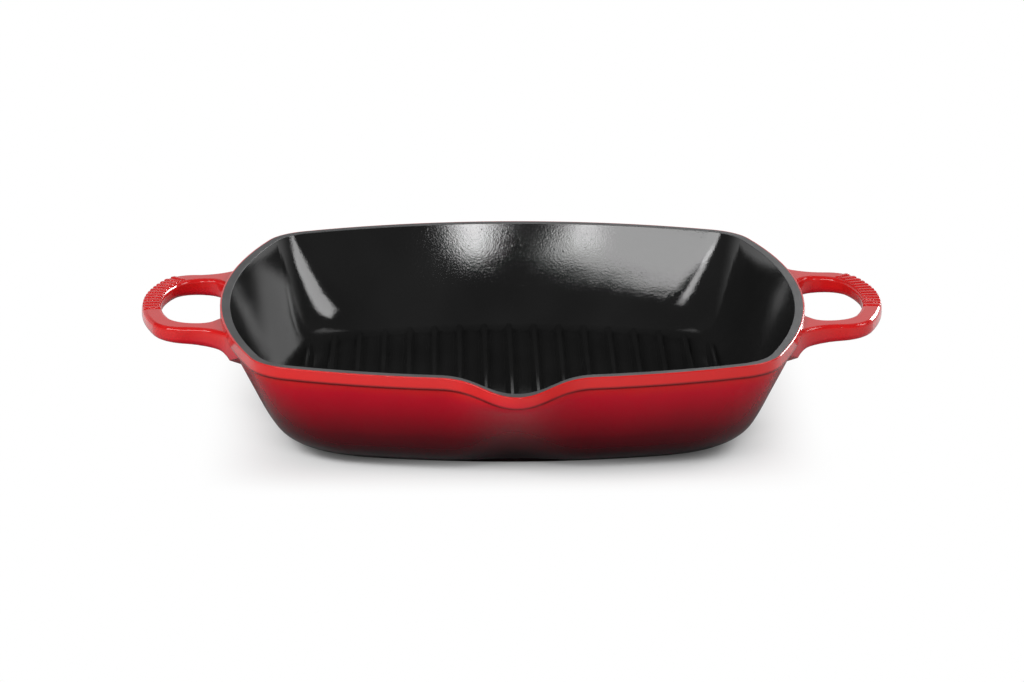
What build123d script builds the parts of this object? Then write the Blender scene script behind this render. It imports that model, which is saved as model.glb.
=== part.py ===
from build123d import *
import os
from math import asin, cos, degrees, radians, sin, sqrt, tan

# A square grill pan with two loop handles, a pouring lip and a ribbed floor.
# The pan, its ribs and its handles are one iron casting, with four coats of enamel fired onto it.
# Lengths are in millimetres. X runs from handle to handle, the lip points along -Y, and Z is up
# from the middle of the base.

# Rim, seen from above: a square with bowed sides
rim_half = 155.0  # centre to the outer edge of the grey rim band, at the middle of a side
rim_bow_radius = 335.0
rim_corner_radius = 31.5
rim_band_width = 4.3
pan_height = 57.5

# Collar, the raised band round the outside of the rim
collar_height = 6.0
collar_stand_off = 0.9  # beyond the rim band
collar_edge_radius = 0.5

# Outer wall, from the collar down to the foot
wall_draft = 27.0  # degrees from upright
wall_step_in = 0.8  # from the collar's face to the top of the wall
wall_overlap = 1.0  # how far the wall runs up inside the collar
wall_base_corner_radius = 52.0  # where wall and underside would meet without their bend
wall_bend_radius = 26.5

# Foot, the flat pad that the pan stands on
foot_inset = 0.8  # from the edge of the flat underside
foot_height = 2.0
foot_edge_radius = 0.8

# Inside
inner_draft = 24.5  # degrees from upright
floor_level = 4.6  # the enamelled floor between the ribs, above the base
floor_corner_radius = 55.0  # where wall and floor would meet without their bend
floor_bend_radius = 24.0

# Ribs
rib_count = 17
rib_pitch = 14.0
rib_height = 4.6
rib_crest_width = 2.2
rib_base_width = 6.0
rib_crest_radius = 0.85
rib_root_radius = 1.8
rib_root_sink = 0.15  # how far the ribs' root curves start below the floor
rib_field_length_half = 111.5  # centre to the ends of the ribs' crests, along the middle rib
rib_field_width_half = 115.0
rib_field_bow_radius = 245.0
rib_field_corner_radius = 42.0
rib_end_slope = 35.0  # degrees from upright

# Pouring lip, in the middle of the front
lip_half_width = 39.0
lip_reach = 16.0  # of the rim's outer edge, beyond the side's own line
lip_inner_reach = 20.0  # of the inside, where it would meet the level of the rim
lip_step_in = 1.2  # from the collar's face to the wall, under the lip's tip
lip_start = 138.0  # from the centre to where the dip in the rim begins
lip_dip = 5.0  # at the lip's outer edge
lip_shoulder_share = 0.45
lip_tip_share = 0.40
lip_fade_rate = 1.5  # of the wall's tip going back in above the lip, to that below

# Handles: a loop at each end, seen from above
handle_end = 198.0  # centre to the outer end
handle_half = 53.3
handle_end_radius = 110.0
handle_corner_radius = 18.0
handle_waist = 157.6  # centre to where the sides start to spread into the rim
handle_spread = 57.0  # degrees between the spread and X
handle_spread_radius = 26.0
handle_root = 140.0  # centre to the hidden ends of the arms
grip_width = 10.4
grip_hole_half = 42.0
grip_hole_end_radius = 85.0
grip_hole_corner_radius = 16.0
grip_hole_neck = 161.0
grip_hole_neck_radius = 8.0

# Handles, seen from the side
handle_drop = 2.5  # top of the handles below the rim
handle_end_thickness = 7.3
handle_root_thickness = 10.9
handle_bend = 150.5  # centre to where the underside turns down the wall
handle_bend_slope = 50.0  # degrees below level
handle_bend_radius = 9.5
web_half = 45.0  # half of the width over which the root has its full depth
web_rise = 24.0  # degrees that its underside climbs from there to the spread
handle_top_radius = 2.3
handle_under_radius = 2.8

# Where the outlines of a wall lie: down its slope, and then round its bend
slope_shares = (0, 0.25, 0.5, 0.75, 1)
bend_shares = (0.25, 0.5, 0.75, 1)

# Enamel
exterior_coat = 0.35
interior_coat = 0.35
rim_coat = 0.3
base_coat = 0.4

# Room for a cutting shape to run past what it cuts
overrun = 12.0

# The outer wall's half width under the lip's collar, at the base without the bend, and with it
lip_level = pan_height - collar_height - lip_dip
lip_level_half = rim_half + collar_stand_off - wall_step_in - lip_dip * tan(radians(wall_draft))
wall_base_half = lip_level_half - (lip_level - foot_height) * tan(radians(wall_draft))
underside_half = wall_base_half - wall_bend_radius * tan(radians(90 - wall_draft) / 2)


def outline(level, half, corner_radius, reach=0):
    """A bowed square at a level, with its lip towards -Y."""
    to_arc_centre = rim_bow_radius - half
    to_corner = rim_bow_radius - corner_radius
    corner = (sqrt(2 * to_corner**2 - to_arc_centre**2) - to_arc_centre) / 2
    side_turn = degrees(asin(corner / to_corner))
    lip_turn = degrees(asin(lip_half_width / rim_bow_radius))
    lip_side = Vector(lip_half_width, to_arc_centre - rim_bow_radius * cos(radians(lip_turn)))
    along = Vector(cos(radians(lip_turn)), sin(radians(lip_turn)))
    shoulder = lip_side - along * lip_half_width * lip_shoulder_share
    tip = Vector(0, -half - reach)
    tip_side = tip + Vector(lip_half_width * lip_tip_share, 0)
    with BuildSketch(Plane.XY.offset(level)) as shape:
        with BuildLine():
            for turn in range(0, 360, 90):
                middle = Vector(corner, corner).rotate(Axis.Z, turn)
                CenterArc(middle, corner_radius, turn + side_turn, 90 - 2 * side_turn)
            for turn in range(0, 270, 90):
                middle = Vector(-to_arc_centre, 0).rotate(Axis.Z, turn)
                CenterArc(middle, rim_bow_radius, turn - side_turn, 2 * side_turn)
            middle = Vector(0, to_arc_centre)
            CenterArc(middle, rim_bow_radius, 270 - side_turn, side_turn - lip_turn)
            CenterArc(middle, rim_bow_radius, 270 + lip_turn, side_turn - lip_turn)
            for side in (-1, 1):
                curve = (lip_side, shoulder, tip_side, tip)
                Bezier(*[Vector(side * point.X, point.Y) for point in curve])
        make_face()
    return shape.sketch


def above_rim(drop):
    """The space over the rim, or over a surface that lies drop below it, dip and all."""
    level = pan_height - drop
    ceiling = pan_height + overrun
    lip_end = rim_half + lip_reach + overrun
    end_dip = lip_dip * (lip_end - lip_start) / (rim_half + lip_reach + collar_stand_off - lip_start)
    with BuildPart() as space:
        for distance, dip in ((lip_start, 0), (lip_end, end_dip)):
            with BuildSketch(Plane.XZ.offset(distance)):
                with BuildLine():
                    for side in (-1, 1):
                        edge = (side * lip_half_width, level)
                        shoulder = (side * lip_half_width * (1 - lip_shoulder_share), level)
                        tip_side = (side * lip_half_width * lip_tip_share, level - dip)
                        Bezier(edge, shoulder, tip_side, (0, level - dip))
                        Line(edge, (side * lip_half_width, ceiling))
                    Line((-lip_half_width, ceiling), (lip_half_width, ceiling))
                make_face()
        loft(ruled=True)
        with BuildSketch(Plane.XY.offset(level)):
            Rectangle(2 * lip_end, 2 * lip_end)
        extrude(amount=ceiling - level)
    return space.part


def collar(coat, drop):
    """The collar under the rim's top, with the inside of the pan still filled."""
    half = rim_half + collar_stand_off - coat
    with BuildPart() as band:
        extrude(outline(0, half, rim_corner_radius + collar_stand_off - coat, lip_reach), amount=pan_height)
        add(above_rim(collar_height - coat), mode=Mode.INTERSECT)
        add(above_rim(drop), mode=Mode.SUBTRACT)
        sides = band.faces().filter_by(lambda face: abs(face.normal_at().Z) < sin(radians(1)))
        tops = [side.edges().sort_by(Axis.Z)[-1] for side in sides]
        fillet(tops, collar_edge_radius - coat)
    return band.part


def bowl(levels, draft, bend_radius, half, corners, tip, coat):
    """Outlines of a sloping wall and its bend, from its top down to a level base.

    levels are the top, the lip's level and the base. half, the first of the corner radii and tip,
    the distance out to the lip's tip, are sizes at the lip's level. The second radius is the one
    that the wall would have at the base without its bend. The outlines lie a coat's depth inside.
    """
    top, lip_level, base = levels
    slope = tan(radians(draft))
    bend_level = base + bend_radius
    bend_half = half - (lip_level - bend_level) * slope - bend_radius / cos(radians(draft))
    slope_end = bend_level - bend_radius * sin(radians(draft))
    places = [(draft, half + (top - lip_level) * slope, top)]
    for share in slope_shares:
        level = lip_level - (lip_level - slope_end) * share
        places.append((draft, half - (lip_level - level) * slope, level))
    for share in bend_shares:
        turn = draft + (90 - draft) * share
        across = bend_half + bend_radius * cos(radians(turn))
        places.append((turn, across, bend_level - bend_radius * sin(radians(turn))))
    base_half = places[-1][1]
    outlines = []
    for turn, across, level in places:
        depth_share = (lip_level - level) / (lip_level - base)
        bent_in = half - (lip_level - level) * slope - across
        corner = corners[0] + (corners[1] - corners[0]) * depth_share - bent_in
        tip_share = max(depth_share, -lip_fade_rate * depth_share)
        reach = tip + (base_half - tip) * tip_share - across
        inset = coat * cos(radians(turn))
        rise = coat * sin(radians(turn))
        outlines.append(outline(level + rise, across - inset, corner - inset, reach))
    return outlines


def wall(coat):
    """The pan's outside below the collar, bent in to the underside, and still filled."""
    top = pan_height - collar_height + wall_overlap
    tip = rim_half + lip_reach + collar_stand_off - lip_step_in
    with BuildPart() as body:
        add(bowl(
            (top, lip_level, foot_height), wall_draft, wall_bend_radius, lip_level_half,
            (rim_corner_radius, wall_base_corner_radius), tip, coat,
        ))
        loft()
        add(above_rim(collar_height / 2), mode=Mode.SUBTRACT)
    return body.part


def foot(coat):
    """The pad under the pan, run up into the body."""
    level = base_coat if coat else 0
    half = underside_half - foot_inset - coat
    corner = wall_base_corner_radius - (wall_base_half - half)
    with BuildPart() as pad:
        extrude(outline(level, half, corner), amount=foot_height + wall_overlap - level)
        fillet(pad.edges().group_by(Axis.Z)[0], foot_edge_radius - coat)
    return pad.part


def loop_shape(end, half, end_radius, corner_radius, waist, waist_radius, spread):
    """A loop seen from above: a bowed end, parallel sides, and a spread towards the rim."""
    corner = end - end_radius + sqrt(end_radius**2 - half**2)
    root_half = half + (waist - handle_root) * tan(radians(spread))
    with BuildSketch() as shape:
        with BuildLine():
            for side in (-1, 1):
                Polyline(
                    (handle_root, side * root_half),
                    (waist, side * half),
                    (corner, side * half),
                )
            ThreePointArc((corner, -half), (end, 0), (corner, half))
            Line((handle_root, -root_half), (handle_root, root_half))
        make_face()
        fillet(shape.vertices().group_by(Axis.X)[2], corner_radius)
        fillet(shape.vertices().group_by(Axis.X)[1], waist_radius)
    return shape.sketch


def handles(coat):
    """Both loops, with their arms run into the wall."""
    top = pan_height - handle_drop
    loop = loop_shape(
        handle_end, handle_half, handle_end_radius, handle_corner_radius,
        handle_waist, handle_spread_radius, handle_spread,
    )
    hole = loop_shape(
        handle_end - grip_width, grip_hole_half, grip_hole_end_radius, grip_hole_corner_radius,
        grip_hole_neck, grip_hole_neck_radius, -handle_spread,
    )
    under_slope = (handle_root_thickness - handle_end_thickness) / (handle_end - handle_bend)
    beyond = handle_end + overrun
    beyond_thickness = handle_end_thickness - overrun * under_slope
    root_drop = (handle_bend - handle_root) * tan(radians(handle_bend_slope))
    web_level = top - handle_root_thickness - root_drop
    root_half = handle_end - handle_root + handle_half
    with BuildPart() as loops:
        with BuildSketch():
            add(loop)
            offset(amount=-coat)
        extrude(amount=pan_height)
        with BuildSketch():
            add(hole)
            offset(amount=coat)
        extrude(amount=pan_height, mode=Mode.SUBTRACT)
        with BuildSketch(Plane.XZ):
            with BuildLine():
                Polyline(
                    (handle_root, top),
                    (beyond, top),
                    (beyond, top - beyond_thickness),
                    (handle_bend, top - handle_root_thickness),
                    (handle_root, web_level),
                    close=True,
                )
            side_view = make_face()
            bend = side_view.vertices().group_by(Axis.X)[1]
            fillet(bend, handle_bend_radius)
            offset(amount=-coat)
        extrude(amount=pan_height * 2, both=True, mode=Mode.INTERSECT)
        rims = loops.edges().filter_by(Axis.Z, reverse=True).filter_by(Axis.Y, reverse=True)
        levels = rims.group_by(Axis.Z)
        under = [edge for level in levels[:-1] for edge in level]
        fillet(under, handle_under_radius - coat)
        rims = loops.edges().filter_by(Axis.Z, reverse=True).filter_by(Axis.Y, reverse=True)
        fillet(rims.group_by(Axis.Z)[-1], handle_top_radius - coat)
        with BuildSketch(Plane.YZ):
            with BuildLine():
                Polyline(
                    (root_half, pan_height + overrun),
                    (root_half, web_level + (root_half - web_half) * tan(radians(web_rise))),
                    (web_half, web_level),
                    (-web_half, web_level),
                    (-root_half, web_level + (root_half - web_half) * tan(radians(web_rise))),
                    (-root_half, pan_height + overrun),
                    close=True,
                )
            make_face()
            offset(amount=-coat)
        extrude(amount=beyond, mode=Mode.INTERSECT)
        mirror(about=Plane.YZ)
    return loops.part


def outside(coat, rim_drop):
    """The whole outside at a coat's depth, with the inside of the pan still filled."""
    with BuildPart() as form:
        add(wall(coat))
        add(foot(coat))
        add(collar(coat, rim_drop))
        add(handles(coat))
    return form.part


def rib_field(level, spread):
    """The area that the ribs cover, seen from above."""
    length_half = rib_field_length_half + spread
    width_half = rib_field_width_half + spread
    bow = rib_field_bow_radius + spread
    corner = length_half - bow + sqrt(bow**2 - width_half**2)
    with BuildSketch(Plane.XY.offset(level)) as shape:
        with BuildLine():
            for side in (-1, 1):
                ThreePointArc(
                    (-width_half, side * corner), (0, side * length_half), (width_half, side * corner)
                )
                Line((side * width_half, -corner), (side * width_half, corner))
        make_face()
        fillet(shape.vertices(), rib_field_corner_radius + spread)
    return shape.sketch


def ribs(coat):
    """The ribs at a coat's depth, run down below the floor."""
    crest = floor_level + rib_height
    root = floor_level - rib_root_sink
    bottom = floor_level / 2
    reach = (rib_pitch + rib_base_width) / 4
    spread = (crest - bottom) * tan(radians(rib_end_slope))
    with BuildPart() as field:
        add(rib_field(bottom, spread - coat))
        add(rib_field(crest, -coat))
        loft(ruled=True)
    with BuildPart() as grill:
        with BuildSketch(Plane.XZ, mode=Mode.PRIVATE) as section:
            with BuildLine():
                FilletPolyline(
                    (-reach, root),
                    (-rib_base_width / 2, root),
                    (-rib_crest_width / 2, crest),
                    (rib_crest_width / 2, crest),
                    (rib_base_width / 2, root),
                    (reach, root),
                    radius=(rib_root_radius, rib_crest_radius, rib_crest_radius, rib_root_radius),
                )
                Polyline((reach, root), (reach, bottom), (-reach, bottom), (-reach, root))
            make_face()
            offset(amount=-coat)
        with BuildSketch(Plane.XZ):
            with GridLocations(rib_pitch, rib_pitch, rib_count, 1):
                add(section.sketch)
        extrude(amount=rim_half, both=True)
        add(field.part, mode=Mode.INTERSECT)
    return grill.part


def inside(coat):
    """The space in the pan, grown by the depth of a coat and run up past the rim."""
    half = rim_half - rim_band_width
    corners = (rim_corner_radius - rim_band_width, floor_corner_radius)
    with BuildPart() as space:
        add(bowl(
            (pan_height + overrun / 2, pan_height, floor_level), inner_draft, floor_bend_radius,
            half, corners, half + lip_inner_reach, -coat,
        ))
        loft()
        add(ribs(coat), mode=Mode.SUBTRACT)
    return space.part


def rim_block():
    """The top of the rim, down to the iron, with the inside of the pan still filled."""
    with BuildPart() as block:
        extrude(outline(0, rim_half, rim_corner_radius, lip_reach), amount=pan_height)
        add(above_rim(rim_coat), mode=Mode.INTERSECT)
    return block.part


# The outside and the inside of the iron, and of the enamel on them
iron_outside = outside(exterior_coat, rim_coat)
iron_inside = inside(interior_coat)
enamel_inside = inside(0)
rim_top = rim_block()

with BuildPart() as iron_casting:
    add(iron_outside)
    add(iron_inside, mode=Mode.SUBTRACT)

with BuildPart() as exterior_enamel:
    add(outside(0, 0))
    add(iron_outside, mode=Mode.SUBTRACT)
    add(rim_top, mode=Mode.SUBTRACT)
    split(bisect_by=Plane.XY.offset(base_coat), keep=Keep.TOP)

with BuildPart() as interior_enamel:
    add(iron_inside)
    add(enamel_inside, mode=Mode.SUBTRACT)
    add(above_rim(rim_coat), mode=Mode.SUBTRACT)

with BuildPart() as rim_enamel:
    add(rim_top)
    add(above_rim(0), mode=Mode.SUBTRACT)
    add(enamel_inside, mode=Mode.SUBTRACT)

with BuildPart() as base_enamel:
    add(foot(0))
    split(bisect_by=Plane.XY.offset(base_coat), keep=Keep.BOTTOM)

iron_casting.part.label = "iron_casting"
exterior_enamel.part.label = "exterior_enamel"
interior_enamel.part.label = "interior_enamel"
rim_enamel.part.label = "rim_enamel"
base_enamel.part.label = "base_enamel"

os.makedirs("parts", exist_ok=True)
export_step(iron_casting.part, "parts/iron_casting.step")
export_step(exterior_enamel.part, "parts/exterior_enamel.step")
export_step(interior_enamel.part, "parts/interior_enamel.step")
export_step(rim_enamel.part, "parts/rim_enamel.step")
export_step(base_enamel.part, "parts/base_enamel.step")
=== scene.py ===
# %% [markdown]
# # A square grill pan in enamelled cast iron
#
# The pan, its ribs and its two loops are one iron casting. Enamel is fired onto it: gloss red
# outside, black inside, and a dark grey band on the rim, where the coats stop short of each
# other. The shapes come finished from the CAD frame. What Blender adds is the finish of each
# coat, the raised grip ridges on the loops, the light and the camera.

# %% Load the frame
from math import asin, cos, pi, radians, sin

import bpy
from mathutils import Matrix, Vector


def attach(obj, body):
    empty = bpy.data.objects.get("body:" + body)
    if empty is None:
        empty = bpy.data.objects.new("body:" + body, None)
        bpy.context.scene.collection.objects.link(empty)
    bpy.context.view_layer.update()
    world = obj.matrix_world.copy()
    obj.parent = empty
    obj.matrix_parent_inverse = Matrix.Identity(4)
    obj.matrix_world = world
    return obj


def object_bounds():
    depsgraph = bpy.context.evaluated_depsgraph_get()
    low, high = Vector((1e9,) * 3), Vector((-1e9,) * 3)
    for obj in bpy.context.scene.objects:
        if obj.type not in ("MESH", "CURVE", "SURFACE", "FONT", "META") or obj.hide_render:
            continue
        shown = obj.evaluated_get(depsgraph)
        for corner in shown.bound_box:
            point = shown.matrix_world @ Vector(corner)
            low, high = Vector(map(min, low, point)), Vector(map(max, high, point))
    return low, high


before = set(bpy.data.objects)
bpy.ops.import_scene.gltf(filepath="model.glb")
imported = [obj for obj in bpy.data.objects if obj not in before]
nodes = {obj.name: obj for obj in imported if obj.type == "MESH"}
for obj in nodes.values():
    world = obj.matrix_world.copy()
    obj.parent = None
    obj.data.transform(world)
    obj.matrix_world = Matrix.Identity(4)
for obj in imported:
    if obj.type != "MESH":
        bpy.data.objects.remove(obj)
cad_low, cad_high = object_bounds()
print("nodes:", sorted(nodes))

# %% [markdown]
# ## The view
#
# The photograph was taken with a long lens from about two metres, looking down at 16 degrees. A
# long lens keeps the rim's far side nearly as wide as its near side. The camera is placed by
# turning its distance and its two angles into a point, which is easier to check against a
# photograph than three typed coordinates.

# %% Camera
RIM_LEVEL = cad_high.z
CAMERA_DISTANCE = 2.14
CAMERA_TURN = -0.9
CAMERA_ELEVATION = 15.7
CAMERA_LENS = 140.4
CAMERA_SEES_FROM = 0.05
CAMERA_SEES_TO = 50
AIM_BELOW_RIM = 0.0249

rim_centre = Vector((0, 0, RIM_LEVEL))


def direction(turn, elevation):
    """The way out from the pan, from a turn round it and an elevation, both in degrees.

    A turn of 0 is straight in front of the lip, and a turn of 90 is to the right.
    """
    turn = radians(turn)
    elevation = radians(elevation)
    return Vector((sin(turn) * cos(elevation), -cos(turn) * cos(elevation), sin(elevation)))


away = direction(CAMERA_TURN, CAMERA_ELEVATION)
camera_place = rim_centre + away * CAMERA_DISTANCE
upwards = away.cross(direction(CAMERA_TURN + 90, 0))
aim = rim_centre - upwards * AIM_BELOW_RIM

camera_data = bpy.data.cameras.new("camera")
camera_data.lens = CAMERA_LENS
camera_data.clip_start = CAMERA_SEES_FROM
camera_data.clip_end = CAMERA_SEES_TO
camera = bpy.data.objects.new("camera", camera_data)
camera.location = camera_place
camera.rotation_euler = (aim - camera_place).to_track_quat("-Z", "Y").to_euler()
bpy.context.scene.collection.objects.link(camera)
bpy.context.scene.camera = camera
bpy.context.scene.view_settings.view_transform = "Standard"
print("camera at", tuple(round(value, 3) for value in camera_place))

# %% [markdown]
# ## Nodes in one call
#
# The studio, the paper and each coat of enamel are built from nodes. Adding a node and filling
# its sockets takes many lines, so one helper does both: it gives each socket a value, or joins
# another node's output to it. Three more are built on it, for arithmetic, for a point's
# coordinates and for carrying a value from one range to another.

# %% Node helpers
def put(tree, kind, sockets=None, **settings):
    """Adds a node, sets its properties, and fills its sockets with values or outputs."""
    node = tree.nodes.new("ShaderNode" + kind)
    for key, value in settings.items():
        setattr(node, key, value)
    for key, value in (sockets or {}).items():
        if isinstance(value, bpy.types.NodeSocket):
            tree.links.new(value, node.inputs[key])
        else:
            node.inputs[key].default_value = value
    return node


def calculate(tree, operation, *operands):
    """Arithmetic on values and outputs."""
    return put(tree, "Math", dict(enumerate(operands)), operation=operation).outputs[0]


def object_axes(tree):
    """The X, Y and Z of a point, in its object's own coordinates."""
    place = put(tree, "TexCoord").outputs["Object"]
    return put(tree, "SeparateXYZ", {0: place}).outputs


def remap(tree, value, old, new=(0, 1), soft=False):
    """Carries a value from an old range to a new one, and holds it at the ends."""
    sockets = {"Value": value}
    sockets["From Min"], sockets["From Max"] = old
    sockets["To Min"], sockets["To Max"] = new
    shape = "SMOOTHSTEP" if soft else "LINEAR"
    return put(tree, "MapRange", sockets, interpolation_type=shape).outputs[0]


def ramp(tree, value, stops):
    """A colour ramp over a value. Stops are (position, colour)."""
    node = put(tree, "ValToRGB", {"Fac": value})
    points = node.color_ramp.elements
    while len(points) < len(stops):
        points.new(1)
    for point, (position, colour) in zip(points, stops):
        point.position = position
        point.color = (*colour, 1)
    return node.outputs["Color"]


def start_material(name):
    """A new material, with its tree and its shader."""
    material = bpy.data.materials.new(name)
    material.use_nodes = True
    return material, material.node_tree, material.node_tree.nodes["Principled BSDF"]


print("node helpers ready")

# %% [markdown]
# ## Light
#
# Gloss enamel is seen mostly by what it mirrors, so each lamp is put where the photograph shows
# its reflection. The back wall inside mirrors a wide window on the left, with a brighter strip at
# its near edge, and a slim oval lamp to the right of the lens. The window hangs a little askew,
# its near end higher, and a smaller panel fills out its far end. The rounded corner mirrors a
# lamp far round on the right, squeezed into a strip. The same lamp makes the left wall glow, by
# way of the back wall. Two panels behind the pan show nowhere and light the tops. Together the
# lamps light a white card about as bright as it is painted, so that colours come out as they are
# written.
#
# The studio itself is pale near the horizon and dim overhead. The camera sees it white.

# %% The studio's own light
HAZE_FROM = 0.22
HAZE_TO = 0.50
HAZE_LIGHT = 0.65
DOME_LIGHT = 0.06

studio = bpy.data.worlds.new("studio")
bpy.context.scene.world = studio
studio.use_nodes = True
air = studio.node_tree
sky = put(air, "TexCoord").outputs["Generated"]
upness = put(air, "SeparateXYZ", {0: sky}).outputs["Z"]
haze = remap(air, upness, (HAZE_FROM, HAZE_TO), (HAZE_LIGHT, DOME_LIGHT), soft=True)
seen_by_lens = put(air, "LightPath").outputs["Is Camera Ray"]
studio_light = air.nodes["Background"]
studio_light.inputs["Color"].default_value = (1, 1, 1, 1)
air.links.new(calculate(air, "MAXIMUM", haze, seen_by_lens), studio_light.inputs["Strength"])
print("the studio's haze fades from", HAZE_LIGHT, "to", DOME_LIGHT)

# %% Softboxes
LAMP_DISTANCE = 1.9


def softbox(name, turn, elevation, size, glow, shape="RECTANGLE", roll=0):
    """A lamp that faces the pan, placed by a turn and an elevation, as the camera is.

    The glow is how bright its face is, where white paper in this light is 1. A roll, in degrees,
    lifts its right-hand end.
    """
    data = bpy.data.lights.new(name, "AREA")
    data.shape = shape
    data.size, data.size_y = size
    data.energy = glow * pi * size[0] * size[1]
    lamp = bpy.data.objects.new(name, data)
    outwards = direction(turn, elevation)
    lamp.location = rim_centre + outwards * LAMP_DISTANCE
    lamp.rotation_euler = (-outwards).to_track_quat("-Z", "Y").to_euler()
    lamp.rotation_euler.rotate_axis("Z", radians(roll))
    bpy.context.scene.collection.objects.link(lamp)
    print(name, "at turn", turn, "and elevation", elevation)


softbox("wide_window", -41, 39, (1.80, 0.56), 8, roll=6)
softbox("window_end", -69.5, 46, (0.28, 0.48), 8)
softbox("window_edge", -14, 36, (0.08, 0.40), 12)
softbox("oval_lamp", 7.6, 34, (0.22, 0.76), 15, "ELLIPSE")
softbox("corner_strip", 95, 42, (0.66, 0.85), 6.5)
softbox("low_panel", 148, 17, (0.70, 0.42), 22)
softbox("high_panel", 176, 44, (1.60, 0.50), 0.7)

# %% [markdown]
# ## Floor
#
# The pan stands on white paper. A real sheet would pick up the shadow of every lamp and end in a
# grey horizon, so the sheet here is partly a trick. Close round the base the paper keeps its own
# shading, and the soft shadow stays where the pan meets it. Farther out it fades to clear white
# for the camera and for mirror images, as in a catalogue picture. That white sheds no light on
# the pan. In a studio, black card laid close under a red wall keeps it deep. Here the paper is
# darker for mirror images instead.

# %% Paper
PAPER_HALF = 3.0
PAPER_BELOW_BASE = 0.0005
PAPER_ROUGHNESS = 0.9

bpy.ops.object.select_all(action="DESELECT")
bpy.ops.mesh.primitive_plane_add(
    size=2 * PAPER_HALF, location=(0, 0, cad_low.z - PAPER_BELOW_BASE)
)
floor = bpy.context.object
floor.name = "floor"
bpy.ops.object.transform_apply(location=True)
floor_paint, paper, floor_shader = start_material("floor_paint")
floor_shader.inputs["Roughness"].default_value = PAPER_ROUGHNESS
floor_shader.inputs["Specular IOR Level"].default_value = 0
floor.data.materials.append(floor_paint)
print("paper", 2 * PAPER_HALF, "metres across")

# %% Clear white away from the base
PAPER_WHITENESS = 0.72
MIRRORED_WHITENESS = 0.25
LENS_FADE = (0.095, 0.166)
MIRROR_FADE = (0.170, 0.300)
FADE_ROUNDING = 0.06

floor_axes = object_axes(paper)
off_middle = [calculate(paper, "ABSOLUTE", floor_axes[axis]) for axis in "XY"]
farther = calculate(paper, "SMOOTH_MAX", *off_middle, FADE_ROUNDING)
rays = put(paper, "LightPath").outputs
white_share = 0
for ray, fade in (
    ("Is Camera Ray", LENS_FADE),
    ("Is Glossy Ray", MIRROR_FADE),
    ("Is Transmission Ray", MIRROR_FADE),
):
    white_for_ray = remap(paper, farther, fade, (0, rays[ray]), soft=True)
    white_share = calculate(paper, "MAXIMUM", white_share, white_for_ray)
whiteness = remap(paper, rays["Is Glossy Ray"], (0, 1), (PAPER_WHITENESS, MIRRORED_WHITENESS))
paper.links.new(whiteness, floor_shader.inputs["Base Color"])
blend = put(paper, "MixShader", {
    "Fac": white_share,
    1: floor_shader.outputs["BSDF"],
    2: put(paper, "Emission").outputs[0],
})
paper.links.new(blend.outputs[0], paper.nodes["Material Output"].inputs["Surface"])
print("paper is clear white beyond", LENS_FADE[1])

# %% [markdown]
# ## How fired enamel is uneven
#
# Enamel melts in the kiln and levels out, but never quite flat. There are slow waves a few
# centimetres long, a fine orange peel, and here and there a pinhole. One group makes these three
# from noise, and puts out a height for the bump and a mask for the colour. Each coat sets how
# strong they are. Noise was chosen over a painted map, since it has no seams and needs no
# unwrapping.

# %% Group: fired surface
PINHOLE_SCALE = 260
PINHOLE_SHARE = 0.18

fired = bpy.data.node_groups.new("fired_surface", "ShaderNodeTree")
for in_out, labels in (
    ("INPUT", ("Wave Size", "Peel Size", "Wave Height", "Peel Height", "Pinholes")),
    ("OUTPUT", ("Height", "Clouding")),
):
    for label in labels:
        fired.interface.new_socket(label, in_out=in_out, socket_type="NodeSocketFloat")
given = fired.nodes.new("NodeGroupInput").outputs
result = fired.nodes.new("NodeGroupOutput").inputs

place = put(fired, "TexCoord").outputs["Object"]
waves = put(fired, "TexNoise", {
    "Vector": place, "Scale": given["Wave Size"], "Detail": 2, "Roughness": 0.5,
}).outputs["Fac"]
peel = put(fired, "TexNoise", {
    "Vector": place, "Scale": given["Peel Size"], "Detail": 3, "Roughness": 0.55,
}).outputs["Fac"]
to_pinhole = put(fired, "TexVoronoi", {"Vector": place, "Scale": PINHOLE_SCALE}, feature="F1")
pinholes = remap(fired, to_pinhole.outputs["Distance"], (0, PINHOLE_SHARE), (1, 0))
wave_height = calculate(fired, "MULTIPLY", waves, given["Wave Height"])
skin = calculate(fired, "MULTIPLY_ADD", peel, given["Peel Height"], wave_height)
pits = calculate(fired, "MULTIPLY", pinholes, given["Pinholes"])
fired.links.new(calculate(fired, "SUBTRACT", skin, pits), result["Height"])
fired.links.new(waves, result["Clouding"])
print(fired.name, "has", len(fired.nodes), "nodes")

# %% A coat of enamel
UNEVENNESS = 0.0004


def start_coat(name, uneven, bump_strength, roughness):
    """A material for one coat, unevenly fired and glossier in some clouds than in others.

    Returns the material, its tree, its shader, its bump and its clouds.
    """
    material, tree, shader = start_material(name)
    surface = put(tree, "Group", uneven, node_tree=fired)
    clouds = surface.outputs["Clouding"]
    bump = put(tree, "Bump", {
        "Strength": bump_strength, "Distance": UNEVENNESS, "Height": surface.outputs["Height"],
    })
    tree.links.new(bump.outputs["Normal"], shader.inputs["Normal"])
    tree.links.new(remap(tree, clouds, (0, 1), roughness), shader.inputs["Roughness"])
    print("coat", name)
    return material, tree, shader, bump, clouds
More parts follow.
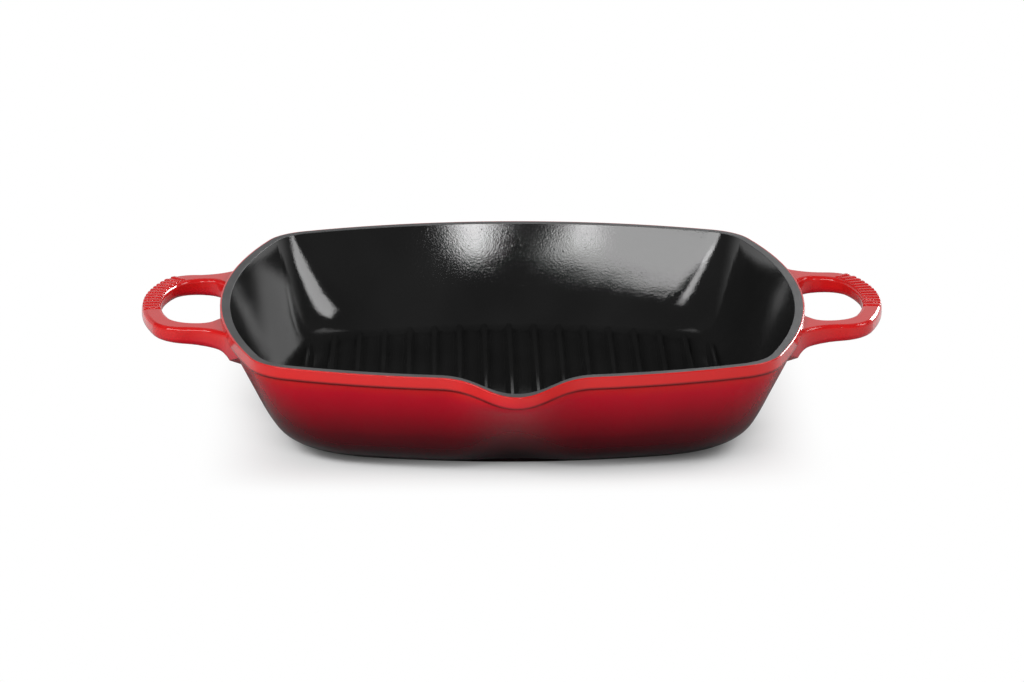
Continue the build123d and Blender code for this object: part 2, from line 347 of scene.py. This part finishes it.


# %% [markdown]
# ## Red enamel
#
# The outside darkens from the collar down to the base. Part of this is the enamel's own colour: it
# is sprayed in two reds while the pan hangs upside down, a bright one all over and a deep one from
# below, which fades out up the wall. Part of it is painted shade, since the lower wall leans under
# and faces away from the lamps. So the colour follows the height. A colour ramp over Object Z does
# this, with a little noise added to the height so that the fade is uneven and not ruled.

# %% Material: red enamel
# The darkening towards the base is partly the enamel's own deep red and partly painted shade.
RED_STOPS = (
    (0.00, (0.004, 0.0004, 0.0012)),
    (0.14, (0.012, 0.0005, 0.0022)),
    (0.35, (0.080, 0.0006, 0.0040)),
    (0.57, (0.240, 0.0008, 0.0080)),
    (0.78, (0.420, 0.0015, 0.0130)),
    (0.90, (0.530, 0.0110, 0.0110)),
)
RED_FIRING = {
    "Wave Size": 28, "Peel Size": 420, "Wave Height": 1, "Peel Height": 0.1, "Pinholes": 0,
}
RED_MIRRORING = 0.3
FADE_DRIFT = 0.05

red, red_tree, red_shader, _, red_clouds = start_coat("red_enamel", RED_FIRING, 0.25, (0.07, 0.16))
red_shader.inputs["Specular IOR Level"].default_value = RED_MIRRORING
red_axes = object_axes(red_tree)
red_height = remap(red_tree, red_axes["Z"], (cad_low.z, cad_high.z))
red_drift = remap(red_tree, red_clouds, (0, 1), (-FADE_DRIFT, FADE_DRIFT))
red_and_painted_shade = ramp(red_tree, calculate(red_tree, "ADD", red_height, red_drift), RED_STOPS)
print("red enamel fades over", len(RED_STOPS), "stops")

# %% [markdown]
# ### The crease under the collar
#
# Where the collar meets the wall, a thin dark line of painted shade is drawn, for the shade under
# the collar's step. The line runs level across the front and back and dips with the pouring lip,
# so the dip is added back to the height before the line is drawn. It fades out before the handles.

# %% Painted shade under the collar
CREASE_LEVEL = 0.0513
CREASE_HALF = 0.0015
# The colour of the painted shade line under the collar.
CREASE_SHADE_COLOUR = (0.045, 0.0003, 0.0020, 1)
CREASE_SHARE = 0.90
LIP_HALF_WIDTH = 0.039
LIP_FROM = 0.138
LIP_TO = 0.172
LIP_DIP = 0.005
HANDLES_FROM = (0.144, 0.151)

off_centre = calculate(red_tree, "ABSOLUTE", red_axes["X"])
into_lip = remap(red_tree, off_centre, (LIP_HALF_WIDTH, 0), soft=True)
lip_fall = remap(red_tree, red_axes["Y"], (-LIP_FROM, -LIP_TO), (0, LIP_DIP))
without_dip = calculate(red_tree, "MULTIPLY_ADD", into_lip, lip_fall, red_axes["Z"])
above_crease = calculate(red_tree, "SUBTRACT", without_dip, CREASE_LEVEL)
off_crease = calculate(red_tree, "ABSOLUTE", above_crease)
line = remap(red_tree, off_crease, (0, CREASE_HALF), (CREASE_SHARE, 0), soft=True)
clear_of_handles = remap(red_tree, off_centre, HANDLES_FROM, (1, 0))
# Painted shade: the red is darkened along the line just under the collar.
under_collar_shade = put(red_tree, "MixRGB", {
    "Fac": calculate(red_tree, "MULTIPLY", line, clear_of_handles),
    "Color1": red_and_painted_shade,
    "Color2": CREASE_SHADE_COLOUR,
})
red_tree.links.new(under_collar_shade.outputs["Color"], red_shader.inputs["Base Color"])
print("crease", 2 * CREASE_HALF, "wide at", CREASE_LEVEL)

# %% [markdown]
# ## Black enamel
#
# The inside is black enamel with a coarser skin than the outside. Its orange peel can be felt
# with a fingertip, and it breaks the edges of a softbox's mirror image into a grainy glow. So the
# peel's bump is stronger here than on the red, and its roughness stays low, so that the grain
# comes from the peel and not from blur.
#
# The walls inside are also slightly hollow from rim to floor, by up to about four millimetres. It
# can't be seen as a shape, but it makes a lamp's mirror image end partway down the wall. A bump
# that grows with the square of the depth below the rim gives it.

# %% Material: black enamel
BLACK_STOPS = ((0.3, (0.008, 0.008, 0.008)), (0.7, (0.012, 0.012, 0.012)))
BLACK_FIRING = {
    "Wave Size": 20, "Peel Size": 1000, "Wave Height": 0.10, "Peel Height": 0.17, "Pinholes": 0.10,
}

black, black_tree, black_shader, black_bump, black_clouds = start_coat(
    "black_enamel", BLACK_FIRING, 0.5, (0.06, 0.09)
)
black_colour = ramp(black_tree, black_clouds, BLACK_STOPS)
black_tree.links.new(black_colour, black_shader.inputs["Base Color"])

# %% Hollow walls
WALL_HOLLOW = 2.3
HOLLOW_DEPTH = 0.043
HOLLOW_ROUNDING = 0.012

depth = calculate(black_tree, "SUBTRACT", RIM_LEVEL, object_axes(black_tree)["Z"])
to_the_bend = calculate(black_tree, "SMOOTH_MIN", depth, HOLLOW_DEPTH, HOLLOW_ROUNDING)
hollow = calculate(black_tree, "MULTIPLY", to_the_bend, to_the_bend)
hollow_bump = put(black_tree, "Bump", {"Strength": 1, "Distance": WALL_HOLLOW, "Height": hollow})
black_tree.links.new(hollow_bump.outputs["Normal"], black_bump.inputs["Normal"])
print("walls hollow by up to", round(WALL_HOLLOW * HOLLOW_DEPTH ** 2, 4))

# %% [markdown]
# ## Rim and base
#
# Where the coats stop, a matt grey-black ground coat is left. It is thinner and rougher than
# either, and speckled, so the same group gets a stronger peel and more pinholes.

# %% Material: ground coat
GREY_STOPS = ((0.3, (0.030, 0.030, 0.031)), (0.7, (0.055, 0.055, 0.057)))
GREY_FIRING = {
    "Wave Size": 60, "Peel Size": 900, "Wave Height": 0.5, "Peel Height": 0.5, "Pinholes": 0.2,
}

grey, grey_tree, grey_shader, _, grey_clouds = start_coat(
    "ground_coat", GREY_FIRING, 0.4, (0.38, 0.55)
)
grey_colour = ramp(grey_tree, grey_clouds, GREY_STOPS)
grey_tree.links.new(grey_colour, grey_shader.inputs["Base Color"])

# %% Dress the pan
for name, coat in (
    ("exterior_enamel", red),
    ("interior_enamel", black),
    ("rim_enamel", grey),
    ("base_enamel", grey),
    ("iron_casting", grey),
):
    materials = nodes[name].data.materials
    materials.clear()
    materials.append(coat)
    print(name, "has", len(nodes[name].data.polygons), "faces in", coat.name)

# %% [markdown]
# ## Grip ridges
#
# Cast loops often have raised ribs across the end, where the fingers would slip. One ridge is
# modelled: a cube, scaled to a short bar, with its edges bevelled and then smoothed by a
# subdivision surface. It is copied along the middle line of the bar, which is an arc across the
# end and a tighter arc round the corner. An array along a curve would bend the ridges, so each
# is turned to lie square across the bar, and sunk until six tenths of a millimetre show.

# %% The middle line of a loop
LOOP_TOP = 0.0550
END_ARC_CENTRE = 0.0953
END_ARC_RADIUS = 0.0975
CORNER_FROM = 0.0402
CORNER_RADIUS = 0.0130


def along_loop(distance):
    """Place and heading on the right-hand loop, at a distance round it from mid-end."""
    turn_limit = asin(CORNER_FROM / END_ARC_RADIUS)
    turn = distance / END_ARC_RADIUS
    centre = Vector((END_ARC_CENTRE, 0))
    radius = END_ARC_RADIUS
    if turn > turn_limit:
        radius = CORNER_RADIUS
        inner = END_ARC_RADIUS - CORNER_RADIUS
        centre += inner * Vector((cos(turn_limit), sin(turn_limit)))
        turn = turn_limit + (distance - turn_limit * END_ARC_RADIUS) / CORNER_RADIUS
    return centre + radius * Vector((cos(turn), sin(turn))), turn


print("the loop's end reaches", round(along_loop(0)[0].x, 4))

# %% One ridge
RIDGE_LENGTH = 0.0094
RIDGE_WIDTH = 0.0032
RIDGE_DEPTH = 0.0030
RIDGE_PROUD = 0.0006
RIDGE_BEVEL = 0.0006

bpy.ops.object.select_all(action="DESELECT")
bpy.ops.mesh.primitive_cube_add(size=1)
ridge = bpy.context.object
ridge.scale = (RIDGE_LENGTH, RIDGE_WIDTH, RIDGE_DEPTH)
ridge.location.z = RIDGE_PROUD - RIDGE_DEPTH / 2
bpy.ops.object.transform_apply(location=True, scale=True)
bpy.ops.object.mode_set(mode="EDIT")
bpy.ops.mesh.select_all(action="SELECT")
bpy.ops.mesh.bevel(offset=RIDGE_BEVEL, segments=2, affect="EDGES")
bpy.ops.object.mode_set(mode="OBJECT")
smoothing = ridge.modifiers.new("smoothing", "SUBSURF")
smoothing.levels = 1
smoothing.render_levels = 1
bpy.ops.object.modifier_apply(modifier=smoothing.name)
bpy.ops.object.shade_smooth()
print("one ridge has", len(ridge.data.polygons), "faces")

# %% Ridges along both loops
RIDGE_PITCH = 0.0050
RIDGE_COUNT = 13
RIDGE_START = -0.0140

for side, name in ((1, "right_grip_ridges"), (-1, "left_grip_ridges")):
    bpy.ops.object.select_all(action="DESELECT")
    for index in range(RIDGE_COUNT):
        spot, turn = along_loop(RIDGE_START + index * RIDGE_PITCH)
        copy = ridge.copy()
        copy.data = ridge.data.copy()
        turned = Matrix.Rotation(turn, 4, "Z")
        copy.data.transform(Matrix.Translation((spot.x, spot.y, LOOP_TOP)) @ turned)
        if side < 0:
            copy.data.transform(Matrix.Scale(-1, 4, (1, 0, 0)))
            copy.data.flip_normals()
        bpy.context.scene.collection.objects.link(copy)
        copy.select_set(True)
        if index == 0:
            bpy.context.view_layer.objects.active = copy
    bpy.ops.object.join()
    band = bpy.context.object
    band.name = name
    band.data.materials.clear()
    band.data.materials.append(red)
    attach(band, "root")
    print(name, len(band.data.polygons), "faces")
bpy.data.objects.remove(ridge)
